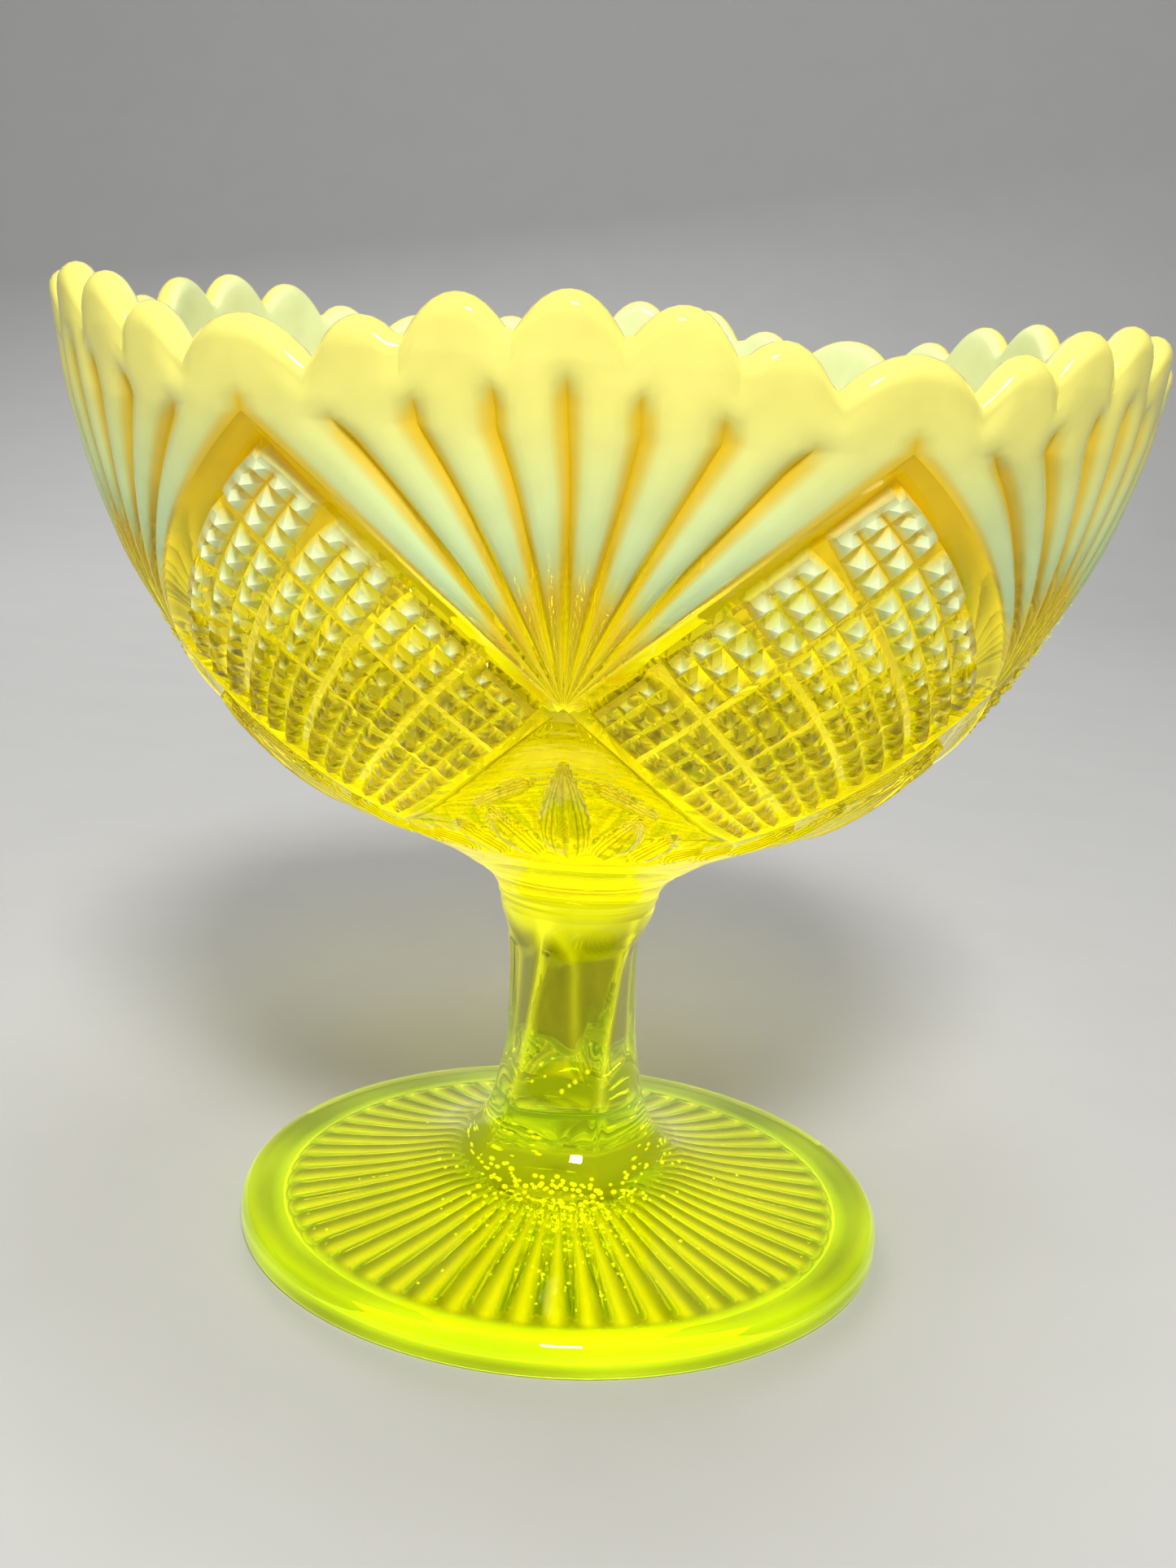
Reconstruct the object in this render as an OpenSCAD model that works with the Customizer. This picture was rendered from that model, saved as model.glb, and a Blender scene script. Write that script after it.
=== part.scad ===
// Footed comport in pressed glass: a scalloped round bowl on a short, faceted,
// gently twisted stem with a spreading round foot.
// Millimetres, +Z up. The origin is the centre of the foot's resting face, on
// the surface that the dish stands on. A fan centre of the bowl faces -Y.
// The pieces meet face to face on flat planes, as glass joined hot does.

/* [Overall] */
// Outside diameter across the rim
rim_d = 148.8; // [138:0.2:160]
// Height of the tallest scallops above the resting face
total_h = 136; // [128:0.5:144]

/* [Rim] */
// Number of fans around the bowl
fans = 6; // [5:1:7]
// Depth of the valleys between the scallops of a fan
scallop_depth = 4.4; // [0.5:0.1:6]
// Depth of the valleys on both sides of a diamond's scallop
apex_depth = 5.6; // [0.5:0.1:7]
// How far the diamond's scallop stands below the fan's centre scallop
rim_wave = 4.6; // [0:0.1:6]

/* [Bowl] */
// Thickness of the wall at the rim
wall_rim = 4.4; // [3.4:0.1:5.5]
// Thickness of the glass at the bottom of the bowl
wall_bottom = 6; // [4.5:0.1:7.5]
// Depth of the flutes between the petals of a fan
flute_depth = 0.7; // [0:0.05:1]
// Number of flutes in a fan
flutes = 7; // [3:2:9]
// Height of the points where neighbouring diamonds meet
crossing_z = 90; // [84:0.5:96]

/* [Stem] */
// Height of the stem's lower end, where the foot starts
stem_low_z = 22; // [20:0.5:25]
// Height of the stem's upper end, where the joining wafer starts
stem_top_z = 50; // [46:0.5:52]
// Radius over the stem's arrises at its waist
stem_r = 10.3; // [9:0.1:11]
// Number of flat sides on the stem
stem_sides = 5; // [5:1:8]
// Twist of the stem, in degrees for each millimetre of height
stem_twist = 0.77; // [0:0.01:1.5]

/* [Joining wafer] */
// Height of the wafer's upper face, where the bowl starts
bowl_base_z = 57.5; // [56:0.5:60]
// Radius of the wafer's upper face
wafer_top_r = 17; // [15:0.5:19]

/* [Foot] */
// Diameter of the foot
foot_d = 95.4; // [86:0.2:104]
// Height of the foot's vertical edge
foot_edge = 3; // [2:0.1:4]
// Inner radius of the flat ring that the foot rests on
ring_in_r = 41; // [38:0.5:42]
// Number of radial grooves pressed into the underside
foot_ribs = 54; // [36:6:78]

/* [Hidden] */

rim_r = rim_d / 2;
foot_r = foot_d / 2;
neck_r = stem_r + 1;       // both ends of the stem, and the faces they meet
pitch = 360 / fans;        // one fan and half a diamond on each side of it

function lerp(a, b, t) = a + (b - a) * t;
function smooth(t) = let(u = min(1, max(0, t))) u * u * (3 - 2 * u);

// A Bezier curve of any degree through the control points p.
function bezier(p, t) =
    len(p) == 1 ? p[0]
    : bezier([for (i = [0 : len(p) - 2]) lerp(p[i], p[i + 1], t)], t);
function unit(v) = v / norm(v);
function slope(p, t) =
    unit(bezier(p, min(1, t + 0.005)) - bezier(p, max(0, t - 0.005)));

// ---------------------------------------------------------------- bowl
// Outside of the wall as [radius, height], from the wafer to the rim.
wall_line = [
    [wafer_top_r, bowl_base_z],
    [wafer_top_r + 18, bowl_base_z + 12.5],
    [rim_r - 40.4, bowl_base_z + 1],
    [rim_r - 5.4, bowl_base_z + 25.5],
    [rim_r, total_h - 2]
];

// Scallops of half a unit as [angle from the fan's centre, half width, height
// below the tallest]. The last one crowns the diamond.
a1 = pitch * 0.153;
a2 = pitch * 0.295;
a3 = pitch * 0.5;
scallops = [
    [0, a1 / 2, 0, scallop_depth],
    [a1, a1 / 2, rim_wave * 0.2, scallop_depth],
    [a2, pitch * 0.076, rim_wave * 0.85, scallop_depth],
    [a3, pitch * 0.129, rim_wave, apex_depth]
];
// Height of the rim's crest at an angle from the nearest fan centre.
function crest(a) =
    total_h - min([for (s = scallops)
        s[2] + s[3] * pow(abs(abs(a) - s[0]) / s[1], 2.2)]);

// Columns: every scallop's peak and valley, with steps between them.
keys = [-a3, -(a3 + a2 - pitch * 0.053) / 2, -a2, -(a1 + a2) / 2, -a1, -a1 / 2,
    0, a1 / 2, a1, (a1 + a2) / 2, a2, (a3 + a2 - pitch * 0.053) / 2, a3];
steps = 3;
cols = [for (f = [0 : fans - 1]) for (k = [0 : len(keys) - 2])
    for (j = [0 : steps - 1])
        f * pitch + lerp(keys[k], keys[k + 1], j / steps)];
// Angle from the nearest fan centre.
function near_fan(a) = a - pitch * round(a / pitch);

// End of the wall's line at an angle, so that the crest keeps its height.
function line_end(h) =
    1 - (total_h - 2 + wall_rim * 0.55 - h) / (4 * (total_h - 2 - bowl_base_z - 25.5));

// The fan spreads upwards from the crossing. Its flutes are grooves that
// widen with it and fade out below the smooth rim.
fan_half = pitch * 0.455;
function in_fan(a, z) =
    let(u = (z - crossing_z) / (total_h - 14 - crossing_z))
    u <= 0.06 || u >= 1 || abs(a) > fan_half * u ? 0
    : pow(sin(180 * (flutes + 1) / 2 * (1 + a / (fan_half * u))), 2)
      * smooth((u - 0.06) * 6) * smooth((1 - u) * 5);

rows_out = 13;
rows_in = 10;
rim_turn = [36, 90, 144];
function wall_at(t) = lerp(wall_bottom, wall_rim, smooth(t * 1.6));
function outside(a, t) =
    let(p = bezier(wall_line, t), n = slope(wall_line, t))
    p - flute_depth * in_fan(a, p[1]) * [n[1], -n[0]];
function inside(t) =
    let(p = bezier(wall_line, t), n = slope(wall_line, t))
    p + wall_at(t) * [-n[1], n[0]];
function section(a) =
    let(h = crest(a), e = line_end(h), n = slope(wall_line, e),
        m = bezier(wall_line, e) + wall_rim / 2 * [-n[1], n[0]])
    concat(
        [for (i = [0 : rows_out]) outside(a, e * i / rows_out)],
        [for (g = rim_turn)
            m + wall_rim / 2 * (cos(g) * [n[1], -n[0]] + sin(g) * n)],
        [for (i = [rows_in : -1 : 0]) inside(e * i / rows_in)]);

// Closes a tube of equal rings, with a middle point for each end.
module rings(sec, lo, hi) {
    n = len(sec);
    m = len(sec[0]);
    pts = concat([for (s = sec) for (p = s) p], [lo, hi]);
    faces = concat(
        [for (i = [0 : n - 1]) for (j = [0 : m - 2]) for (k = [0, 1])
            let(a = i * m + j, b = ((i + 1) % n) * m + j)
            k == 0 ? [a, a + 1, b] : [a + 1, b + 1, b]],
        [for (i = [0 : n - 1]) [n * m, i * m, ((i + 1) % n) * m]],
        [for (i = [0 : n - 1])
            [n * m + 1, ((i + 1) % n) * m + m - 1, i * m + m - 1]]);
    polyhedron(points = pts, faces = faces, convexity = 6);
}

module bowl() {
    color([0.93, 0.95, 0.45])
    rings([for (c = cols) [for (p = section(near_fan(c)))
            [p[0] * cos(c - 90), p[0] * sin(c - 90), p[1]]]],
        [0, 0, bowl_base_z], [0, 0, bowl_base_z + wall_bottom - 0.6]);
}

// ------------------------------------------------------- joining wafer
wafer_line = [
    [neck_r, stem_top_z],
    [neck_r + 0.2, stem_top_z + (bowl_base_z - stem_top_z) * 0.5],
    [lerp(neck_r, wafer_top_r, 0.5), stem_top_z + (bowl_base_z - stem_top_z) * 0.8],
    [wafer_top_r, bowl_base_z]
];
module joining_wafer() {
    color([0.98, 0.98, 0.15])
    rotate_extrude($fn = 96)
        polygon(concat([[0, stem_top_z]],
            [for (i = [0 : 10]) bezier(wafer_line, i / 10)],
            [[0, bowl_base_z]]));
}

// ---------------------------------------------------------------- stem
// A regular polygon with softened arrises. w is 0 for a circle, 1 for sharp.
function facet(g, w) =
    let(h = 180 / stem_sides, a = g - 2 * h * round(g / (2 * h)))
    lerp(1, cos(h) / cos(a), w);
stem_cols = stem_sides * 12;
stem_rows = 16;
module stem() {
    color([0.72, 0.8, 0.1])
    rings([for (i = [0 : stem_cols - 1]) [for (j = [0 : stem_rows])
            let(t = j / stem_rows, z = lerp(stem_low_z, stem_top_z, t),
                waist = pow(abs(2 * t - 1), 2.4),
                r = lerp(stem_r, neck_r, waist)
                    * facet(i * 360 / stem_cols, 0.92 * (1 - waist)),
                a = i * 360 / stem_cols - 83.3
                    + stem_twist * (z - (stem_low_z + stem_top_z) / 2 - 3.3))
            [r * cos(a), r * sin(a), z]]],
        [0, 0, stem_low_z], [0, 0, stem_top_z]);
}

// ---------------------------------------------------------------- foot
// Upper surface from the stem down over the dome to the edge.
dome_line = [
    [neck_r, stem_low_z],
    [neck_r + 2.2, 8.2],
    [neck_r + 14, 8.6],
    [foot_r - 1.2, foot_edge + 2.2]
];
groove_in_r = 13.5;
groove_out_r = ring_in_r - 0.8;
// Underside of the recess: a shallow cone that rises towards the middle.
under_low = 0.9;
under_high = 5.2;
module rib_groove() {
    run = groove_out_r - groove_in_r;
    tilt = atan((under_high - under_low) / run);
    translate([groove_in_r, 0, under_high])
        rotate([0, tilt, 0])
            rotate([90, 0, 90])
                linear_extrude(height = run / cos(tilt))
                    polygon([[-0.42, -0.3], [0.42, -0.3], [0, 0.55]]);
}
module foot() {
    color([0.62, 0.78, 0.08])
    difference() {
        rotate_extrude($fn = 144)
            polygon(concat([[0, stem_low_z]],
                [for (i = [0 : 14]) bezier(dome_line, i / 14)],
                [[foot_r - 0.25, foot_edge + 1.2], [foot_r, foot_edge],
                 [foot_r, 0.9], [foot_r - 0.3, 0.25], [foot_r - 0.9, 0],
                 [ring_in_r, 0], [ring_in_r - 0.5, under_low],
                 [groove_in_r - 1.5, under_high + 0.25], [0, under_high + 0.25]]));
        for (i = [0 : foot_ribs - 1])
            rotate([0, 0, i * 360 / foot_ribs]) rib_groove();
    }
}

bowl();
joining_wafer();
stem();
foot();
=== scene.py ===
import math

import bpy
import numpy as np
from mathutils import Matrix, Vector


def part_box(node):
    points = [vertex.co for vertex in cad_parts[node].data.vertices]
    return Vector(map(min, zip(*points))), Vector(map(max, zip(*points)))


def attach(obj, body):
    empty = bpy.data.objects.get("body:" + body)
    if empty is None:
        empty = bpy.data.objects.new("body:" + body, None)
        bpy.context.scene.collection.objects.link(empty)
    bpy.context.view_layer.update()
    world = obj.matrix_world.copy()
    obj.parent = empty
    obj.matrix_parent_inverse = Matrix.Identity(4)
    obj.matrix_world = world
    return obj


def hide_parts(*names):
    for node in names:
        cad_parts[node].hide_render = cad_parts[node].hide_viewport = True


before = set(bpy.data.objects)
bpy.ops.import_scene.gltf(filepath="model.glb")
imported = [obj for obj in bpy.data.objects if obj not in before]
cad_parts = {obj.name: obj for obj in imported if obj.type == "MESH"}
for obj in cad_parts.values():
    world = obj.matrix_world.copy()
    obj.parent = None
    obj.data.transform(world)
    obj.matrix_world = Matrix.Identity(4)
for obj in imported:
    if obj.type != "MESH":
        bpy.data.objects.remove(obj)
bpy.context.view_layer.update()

MM = 0.001
TOP = (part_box("bowl")[1].z) / MM - 0.03     # crest of the tallest scallops
BASE = (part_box("bowl")[0].z) / MM           # where the bowl starts on the wafer
STEM_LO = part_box("stem")[0].z / MM
STEM_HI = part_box("stem")[1].z / MM
FOOT_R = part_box("foot")[1].y / MM
RIM_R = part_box("bowl")[1].y / MM

# ------------------------------------------------------------------ helpers


def lerp(a, b, t):
    return a + (b - a) * t


def smooth(x, lo=0.0, hi=1.0):
    u = np.clip((np.asarray(x, float) - lo) / (hi - lo), 0, 1)
    return u * u * (3 - 2 * u)


def bezier(ctrl, t):
    p = [np.asarray(c, float)[None, :] + 0 * np.asarray(t)[:, None] for c in ctrl]
    t = np.asarray(t)[:, None]
    while len(p) > 1:
        p = [lerp(p[i], p[i + 1], t) for i in range(len(p) - 1)]
    return p[0]


def mix3(a, b, t):
    return np.asarray(a) + (np.asarray(b) - np.asarray(a)) * np.asarray(t)[..., None]


class Shell:
    """Collects grids of points, welds them and makes one mesh."""

    def __init__(self):
        self.co, self.attr, self.faces, self.mats, self.n = [], [], [], [], 0

    def grid(self, xyz, tint, opal, rough, flip=False, wrap=False, split=None, contour_shade_and_bump=0.0,
             painted_glow=0.0):
        """xyz is (rows, cols, 3) in mm. tint is (rows, cols, 3). split says, per
        quad, whether it is cut from its first corner to its third."""
        r, c = xyz.shape[:2]
        idx = np.arange(r * c).reshape(r, c) + self.n
        if wrap:
            idx = np.concatenate([idx, idx[:, :1]], axis=1)
        a, b = idx[:-1, :-1].ravel(), idx[:-1, 1:].ravel()
        d, e = idx[1:, :-1].ravel(), idx[1:, 1:].ravel()
        q = np.stack([a, b, e, d], 1)
        if split is not None:
            k = split.ravel()
            one = np.where(k[:, None], np.stack([a, b, e, e], 1), np.stack([a, b, d, d], 1))
            two = np.where(k[:, None], np.stack([a, e, d, d], 1), np.stack([b, e, d, d], 1))
            q = np.concatenate([one, two])
        if flip:
            q = q[:, ::-1]
        self.co.append(xyz.reshape(-1, 3))
        self.attr.append(np.concatenate([
            np.broadcast_to(tint, (r, c, 3)).reshape(-1, 3),
            np.broadcast_to(opal, (r, c)).reshape(-1, 1),
            np.broadcast_to(rough, (r, c)).reshape(-1, 1),
            np.broadcast_to(contour_shade_and_bump, (r, c)).reshape(-1, 1),
            np.broadcast_to(painted_glow, (r, c)).reshape(-1, 1)], 1))
        self.faces.append(q)
        self.mats.append(np.zeros(len(q)))
        self.n += r * c

    def loose(self, xyz, faces, tint, opal, rough, joint=0, painted_glow=0.0):
        self.co.append(xyz)
        self.attr.append(np.tile(np.array([*tint, opal, rough, 0.0, painted_glow], float), (len(xyz), 1)))
        self.faces.append(np.asarray(faces) + self.n)
        self.mats.append(np.full(len(faces), joint))
        self.n += len(xyz)

    def make(self, name, material, sharp=30):
        co = np.concatenate(self.co)
        at = np.concatenate(self.attr)
        fa = np.concatenate(self.faces)
        mt = np.concatenate(self.mats)
        key = np.round(co / 2e-4).astype(np.int64)
        _, first, inv = np.unique(key, axis=0, return_index=True, return_inverse=True)
        inv = inv.ravel()
        co, at = co[first], at[first]
        polys, keep = [], []
        for k, f in enumerate(inv[fa]):
            p = [f[0]]
            for v in f[1:]:
                if v != p[-1]:
                    p.append(v)
            if p[0] == p[-1]:
                p.pop()
            if len(p) >= 3 and len(set(p)) == len(p):
                polys.append([int(v) for v in p])
                keep.append(float(mt[k]))
        me = bpy.data.meshes.new(name)
        me.from_pydata([tuple(v) for v in co * MM], [], polys)
        me.update()
        me.materials.append(material)
        me.polygons.foreach_set("use_smooth", [True] * len(polys))
        me.set_sharp_from_angle(angle=math.radians(sharp))
        jt = me.attributes.new("joined", "FLOAT", "FACE")
        jt.data.foreach_set("value", np.array(keep, np.float32))
        col = me.attributes.new("tint", "FLOAT_COLOR", "POINT")
        col.data.foreach_set("color", np.concatenate(
            [at[:, :3], np.ones((len(at), 1))], 1).astype(np.float32).ravel())
        for i, nm in ((3, "opal"), (4, "rough"), (5, "contour_shade_and_bump"), (6, "painted_glow")):
            x = me.attributes.new(nm, "FLOAT", "POINT")
            x.data.foreach_set("value", at[:, i].astype(np.float32))
        ob = bpy.data.objects.new(name, me)
        bpy.context.scene.collection.objects.link(ob)
        return ob


def bubbles(shell, centres, radii, tint, painted_glow, segs=10, rings=6):
    """Air bubbles in the glass: small spheres that face inwards."""
    la = np.linspace(-90, 90, rings + 1)[1:-1]
    lo = np.linspace(0, 360, segs, endpoint=False)
    La, Lo = np.radians(np.meshgrid(la, lo, indexing="ij"))
    ball = np.stack([np.cos(La) * np.cos(Lo), np.cos(La) * np.sin(Lo), np.sin(La)], -1)
    pts = np.concatenate([ball.reshape(-1, 3), [[0, 0, -1], [0, 0, 1]]])
    f, m = [], (rings - 1) * segs
    for i in range(rings - 2):
        for j in range(segs):
            k = (j + 1) % segs
            f.append([i * segs + j, (i + 1) * segs + j, (i + 1) * segs + k, i * segs + k])
    for j in range(segs):
        k = (j + 1) % segs
        f.append([m, j, k, k])
        f.append([m + 1, (rings - 2) * segs + k, (rings - 2) * segs + j, (rings - 2) * segs + j])
    for c, r in zip(centres, radii):
        shell.loose(np.asarray(c) + pts * r * np.array([1, 1, 1.15]), f, tint, 0.0, 0.01, painted_glow=painted_glow)


def round_xyz(r, a, z):
    """Radius, angle in degrees and height to points."""
    a = np.radians(a)
    return np.stack([r * np.sin(a), -r * np.cos(a), z + 0 * r], -1)


def cap(shell, ring, centre, up, tint, joint=1):
    """A flat end: a ring of points joined to its middle."""
    n = len(ring)
    pts = np.concatenate([ring, [centre]])
    i = np.arange(n)
    j = (i + 1) % n
    f = np.stack([i, j, np.full(n, n), np.full(n, n)], 1)
    if not up:
        f = f[:, ::-1]
    shell.loose(pts, f, tint, 0.0, 0.02, joint)


# ---------------------------------------------------------------- materials
def glass_material(name, ripple, soak, density, coat=0.0, bumps=0.05):
    """Pressed glass. The tint, the milkiness and the polish come with the mesh, and
    the planes where hot glass was joined (joined = 1) let everything through, since
    the glass runs on there. soak and density are the colour the glass takes inside."""
    m = bpy.data.materials.new(name)
    m.use_nodes = True
    nt = m.node_tree
    nt.nodes.clear()
    out = nt.nodes.new("ShaderNodeOutputMaterial")
    p = nt.nodes.new("ShaderNodeBsdfPrincipled")
    nt.links.new(p.outputs["BSDF"], out.inputs["Surface"])
    va = nt.nodes.new("ShaderNodeVolumeAbsorption")
    va.inputs["Color"].default_value = (*soak, 1)
    va.inputs["Density"].default_value = density
    nt.links.new(va.outputs["Volume"], out.inputs["Volume"])
    jt = nt.nodes.new("ShaderNodeAttribute"); jt.attribute_name = "joined"
    solid = nt.nodes.new("ShaderNodeMath"); solid.operation = "SUBTRACT"; solid.use_clamp = True
    solid.inputs[0].default_value = 1.0
    nt.links.new(jt.outputs["Fac"], solid.inputs[1])
    nt.links.new(solid.outputs["Value"], p.inputs["Alpha"])
    tint = nt.nodes.new("ShaderNodeAttribute"); tint.attribute_name = "tint"
    opal = nt.nodes.new("ShaderNodeAttribute"); opal.attribute_name = "opal"
    rough = nt.nodes.new("ShaderNodeAttribute"); rough.attribute_name = "rough"
    tc = nt.nodes.new("ShaderNodeTexCoord")
    # cloudy drift of colour in the glass
    n1 = nt.nodes.new("ShaderNodeTexNoise")
    n1.inputs["Scale"].default_value = 55.0
    n1.inputs["Detail"].default_value = 3.0
    nt.links.new(tc.outputs["Object"], n1.inputs["Vector"])
    r1 = nt.nodes.new("ShaderNodeMapRange")
    r1.inputs["From Min"].default_value = 0.3
    r1.inputs["From Max"].default_value = 0.7
    r1.inputs["To Min"].default_value = 0.93
    r1.inputs["To Max"].default_value = 1.04
    nt.links.new(n1.outputs["Fac"], r1.inputs["Value"])
    hsv = nt.nodes.new("ShaderNodeHueSaturation")
    nt.links.new(tint.outputs["Color"], hsv.inputs["Color"])
    # painted shade: dark contour lines, from a mesh attribute that follows the leaves' relief, stand in for
    # light bent by that relief; the same sine also feeds the bump below
    wv = nt.nodes.new("ShaderNodeAttribute"); wv.attribute_name = "contour_shade_and_bump"
    turn = nt.nodes.new("ShaderNodeMath"); turn.operation = "MULTIPLY"
    turn.inputs[1].default_value = 26.0
    nt.links.new(wv.outputs["Fac"], turn.inputs[0])
    sine = nt.nodes.new("ShaderNodeMath"); sine.operation = "SINE"
    nt.links.new(turn.outputs["Value"], sine.inputs[0])
    dark = nt.nodes.new("ShaderNodeMapRange")
    dark.inputs["From Min"].default_value = 0.1
    dark.inputs["From Max"].default_value = 0.9
    dark.inputs["To Min"].default_value = 1.0
    dark.inputs["To Max"].default_value = 0.40
    nt.links.new(sine.outputs["Value"], dark.inputs["Value"])
    lined = nt.nodes.new("ShaderNodeMath"); lined.operation = "MULTIPLY"
    nt.links.new(r1.outputs["Result"], lined.inputs[0])
    nt.links.new(dark.outputs["Result"], lined.inputs[1])
    nt.links.new(lined.outputs["Value"], hsv.inputs["Value"])
    nt.links.new(hsv.outputs["Color"], p.inputs["Base Color"])
    # milkiness swirls a little at the edge of the struck zone
    n2 = nt.nodes.new("ShaderNodeTexNoise")
    n2.inputs["Scale"].default_value = 160.0
    n2.inputs["Detail"].default_value = 2.0
    nt.links.new(tc.outputs["Object"], n2.inputs["Vector"])
    r2 = nt.nodes.new("ShaderNodeMapRange")
    r2.inputs["To Min"].default_value = 0.86
    r2.inputs["To Max"].default_value = 1.1
    nt.links.new(n2.outputs["Fac"], r2.inputs["Value"])
    mu = nt.nodes.new("ShaderNodeMath"); mu.operation = "MULTIPLY"; mu.use_clamp = True
    nt.links.new(opal.outputs["Fac"], mu.inputs[0])
    nt.links.new(r2.outputs["Result"], mu.inputs[1])
    inv = nt.nodes.new("ShaderNodeMath"); inv.operation = "SUBTRACT"; inv.use_clamp = True
    inv.inputs[0].default_value = 1.0
    nt.links.new(mu.outputs["Value"], inv.inputs[1])
    nt.links.new(inv.outputs["Value"], p.inputs["Transmission Weight"])
    # fire polish: glossy, a little softer where the mould touched
    n3 = nt.nodes.new("ShaderNodeTexNoise")
    n3.inputs["Scale"].default_value = 420.0
    n3.inputs["Detail"].default_value = 2.0
    nt.links.new(tc.outputs["Object"], n3.inputs["Vector"])
    r3 = nt.nodes.new("ShaderNodeMapRange")
    r3.inputs["From Min"].default_value = 0.35
    r3.inputs["From Max"].default_value = 0.7
    r3.inputs["To Min"].default_value = 0.0
    r3.inputs["To Max"].default_value = 0.018
    nt.links.new(n3.outputs["Fac"], r3.inputs["Value"])
    ad = nt.nodes.new("ShaderNodeMath"); ad.operation = "ADD"; ad.use_clamp = True
    nt.links.new(rough.outputs["Fac"], ad.inputs[0])
    nt.links.new(r3.outputs["Result"], ad.inputs[1])
    nt.links.new(ad.outputs["Value"], p.inputs["Roughness"])
    # slow ripple of pressed glass and a fine mould grain
    n4 = nt.nodes.new("ShaderNodeTexNoise")
    n4.inputs["Scale"].default_value = ripple
    n4.inputs["Detail"].default_value = 2.5
    nt.links.new(tc.outputs["Object"], n4.inputs["Vector"])
    bump = nt.nodes.new("ShaderNodeBump")
    bump.inputs["Strength"].default_value = bumps
    bump.inputs["Distance"].default_value = 0.002
    both = nt.nodes.new("ShaderNodeMath"); both.operation = "MULTIPLY_ADD"
    both.inputs[1].default_value = 0.9
    nt.links.new(sine.outputs["Value"], both.inputs[0])
    nt.links.new(n4.outputs["Fac"], both.inputs[2])
    nt.links.new(both.outputs["Value"], bump.inputs["Height"])
    nt.links.new(bump.outputs["Normal"], p.inputs["Normal"])
    p.inputs["IOR"].default_value = 1.5
    p.inputs["Specular IOR Level"].default_value = 0.42
    p.inputs["Specular Tint"].default_value = (1.0, 0.99, 0.42, 1)
    p.inputs["Subsurface Weight"].default_value = 0.0
    p.inputs["Coat Weight"].default_value = coat
    p.inputs["Coat Roughness"].default_value = 0.03
    # painted glow: emission from a mesh attribute lifts chosen places as if more light fell there; only
    # partly the uranium glass's own yellow-green fluorescence
    gl = nt.nodes.new("ShaderNodeAttribute"); gl.attribute_name = "painted_glow"
    nt.links.new(gl.outputs["Fac"], p.inputs["Emission Strength"])
    nt.links.new(hsv.outputs["Color"], p.inputs["Emission Color"])
    return m


OPAL = glass_material("opalescent_glass", 130.0, (0.985, 0.975, 0.02), 260.0, bumps=0.04)
CLEAR = glass_material("uranium_glass", 90.0, (0.955, 0.968, 0.02), 260.0, bumps=0.05)
FOOTG = glass_material("foot_glass", 110.0, (0.948, 0.970, 0.02), 260.0, bumps=0.05)

# --------------------------------------------------------------- bowl profile
LINE = [(17.0, BASE), (35.0, BASE + 12.5), (RIM_R - 40.4, BASE + 1.0),
        (RIM_R - 5.4, BASE + 25.5), (RIM_R, TOP - 2.0)]
TT = np.linspace(0, 1.03, 3000)
PP = bezier(LINE, TT)
SS = np.concatenate([[0], np.cumsum(np.hypot(*np.diff(PP, axis=0).T))])
TG = np.gradient(PP, SS, axis=0)
TG /= np.linalg.norm(TG, axis=1)[:, None]


def at_s(s):
    """Radius, height and the outward normal of the plain wall at arc length s."""
    f = [np.interp(s, SS, q) for q in (PP[:, 0], PP[:, 1], TG[:, 0], TG[:, 1])]
    return f[0], f[1], f[3], -f[2]


WALL_RIM, WALL_LOW = 4.4, 6.0


def wall(s):
    return lerp(WALL_LOW, WALL_RIM, smooth(s, 0, 62))


def lean(s):
    """The rim sits a little round from the pattern below it."""
    return -0.7 * smooth(s, 80.0, 97.0)


def skin(a, s, h):
    r, z, nr, nz = at_s(s)
    return round_xyz(r + nr * h, a + lean(s), z + nz * h)


# Rim: scallops as (angle, half width, drop, depth), mirrored about each fan.
SCAL = [(0.0, 4.59, 0.0, 4.4), (9.18, 4.59, 0.92, 4.4),
        (17.7, 4.56, 3.91, 4.4), (30.0, 7.74, 4.6, 5.6)]


def crest(a):
    a = np.abs(a)
    d = np.stack([dr + dp * np.abs((a - c) / w) ** 2.1 for c, w, dr, dp in SCAL])
    return TOP - d.min(0)


def lobe(a):
    """1 on the middle of a scallop, 0 in the crease between two."""
    a = np.abs(a)
    d = np.stack([dr + dp * np.abs((a - c) / w) ** 2.1 for c, w, dr, dp in SCAL])
    k = d.argmin(0)
    c = np.array([x[0] for x in SCAL])[k]
    w = np.array([x[1] for x in SCAL])[k]
    return 1 - np.clip(np.abs(a - c) / w, 0, 1) ** 2.6


def s_end(a):
    t = 1 - (TOP - 2 + WALL_RIM * 0.55 - crest(a)) / (4 * (TOP - 2 - BASE - 25.5))
    return np.interp(t, TT, SS)


# --------------------------------------------------- pattern on the outside
# W runs from the crossing (0) up to the diamond's top (1) or down to its foot (-1).
S_X = 55.5


def s_of(w):
    return S_X + 34.5 * w + 2.85 * w * w - 4.25 * w ** 3


S_T, S_B = s_of(1.0), s_of(-1.0)
EDGE = -0.25                 # level of the arrises
BAND = 0.062                 # mitre band, as a share of a diamond's side
WIDE, FINE = 0.10, 0.040    # half width of a divider where it starts, and along it
BLOCKS, NAILS = 4, 3


def nail_depth(s):
    return 2.05 * at_s(s)[0] / 72.0


def divider(run):
    """Half width of a divider, in blocks, at this run from the mitre band."""
    return FINE + (WIDE - FINE) * np.clip(1 - run * BLOCKS / 0.42, 0, 1) ** 1.1


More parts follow.
